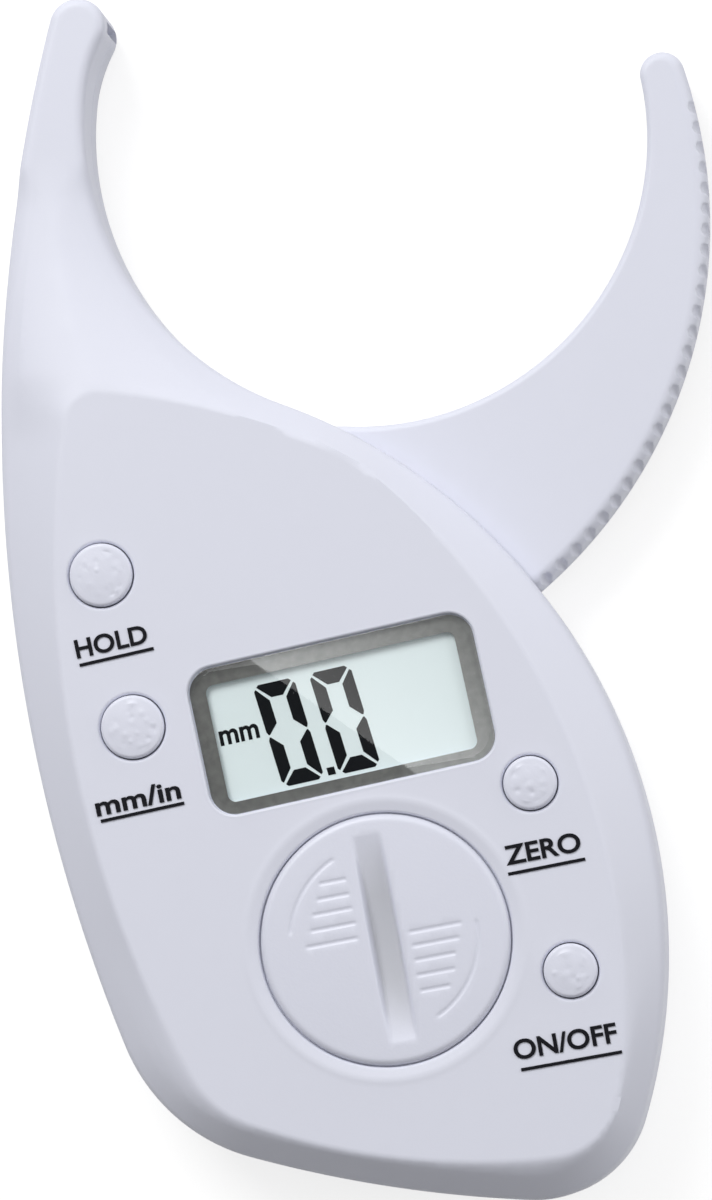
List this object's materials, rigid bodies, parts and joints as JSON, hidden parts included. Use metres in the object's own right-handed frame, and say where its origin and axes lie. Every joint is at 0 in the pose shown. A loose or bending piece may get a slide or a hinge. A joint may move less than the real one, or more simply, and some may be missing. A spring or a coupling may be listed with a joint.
{
  "type": "skinfold caliper",
  "caption": "Digital skinfold caliper with a fixed jaw, a thumb-closed swinging jaw, a display window, push buttons and a coin-slot battery cap.",
  "frame": {"origin": "on the rear face, under the pivot axis of the swinging jaw", "axes": "+Z out of the front face, +Y towards the jaw tips, +X towards the swinging jaw's side"},
  "size_m": [0.0925, 0.157, 0.0187],
  "materials": {
    "board": "solder mask",
    "control_plastic": "satin moulded plastic with a fine grain",
    "copper_disc": "thin patterned film on a disc",
    "dark_plastic": "moulded",
    "inner_plastic": "plain moulded plastic",
    "lcd_glass": "reflective display glass",
    "shell_plastic": "satin moulded plastic, lavender white",
    "steel": "plated",
    "strip_rubber": "silicone",
    "window": "clear acrylic with a grey printed border"
  },
  "bodies": {
    "housing": {"battery_holder": "inner_plastic", "board_screws": "steel", "capacitors": "dark_plastic", "case_screws": "steel", "circuit_board": "board", "coin_cell": "steel", "controller_chip": "dark_plastic", "crystal": "steel", "display_lens": "window", "front_cover": "shell_plastic", "lcd_frame": "inner_plastic", "lcd_panel": "lcd_glass", "negative_contact": "steel", "pivot_axle": "steel", "positive_contact": "steel", "rear_cover": "shell_plastic", "retaining_clip": "steel", "return_spring": "steel", "switch_housings": "dark_plastic", "thrust_washer": "inner_plastic", "zebra_strips": "strip_rubber"},
    "jaw": {"moving_jaw": "shell_plastic", "jaw_bush": "inner_plastic", "sensor_rotor": "copper_disc"},
    "hold": {"hold_button": "control_plastic", "hold_plunger": "inner_plastic"},
    "unit": {"unit_button": "control_plastic", "unit_plunger": "inner_plastic"},
    "zero": {"zero_button": "control_plastic", "zero_plunger": "inner_plastic"},
    "power": {"power_button": "control_plastic", "power_plunger": "inner_plastic"},
    "cap": {"battery_cap": "control_plastic"}
  },
  "joints": [
    {"name": "jaw_swing", "type": "hinge", "parent": "housing", "child": "jaw", "pos_m": [0, 0, 0.006], "axis": [0, 0, 1], "range_deg": [0, 55.4], "stiffness_Nm_per_rad": 0.03, "springref_deg": -11.46, "deforming": ["return_spring"]},
    {"name": "hold_press", "type": "slide", "parent": "housing", "child": "hold", "axis": [0, 0, -1], "range_m": [0, 0.0004], "stiffness_N_per_m": 1500, "springref_m": -0.0003},
    {"name": "unit_press", "type": "slide", "parent": "housing", "child": "unit", "axis": [0, 0, -1], "range_m": [0, 0.0004], "stiffness_N_per_m": 1500, "springref_m": -0.0003},
    {"name": "zero_press", "type": "slide", "parent": "housing", "child": "zero", "axis": [0, 0, -1], "range_m": [0, 0.0004], "stiffness_N_per_m": 1500, "springref_m": -0.0003},
    {"name": "power_press", "type": "slide", "parent": "housing", "child": "power", "axis": [0, 0, -1], "range_m": [0, 0.0004], "stiffness_N_per_m": 1500, "springref_m": -0.0003},
    {"name": "battery_cap_turn", "type": "hinge", "parent": "housing", "child": "cap", "pos_m": [0.0068, -0.0501, 0.016], "axis": [0, 0, 1], "range_deg": [0, 50]}
  ]
}
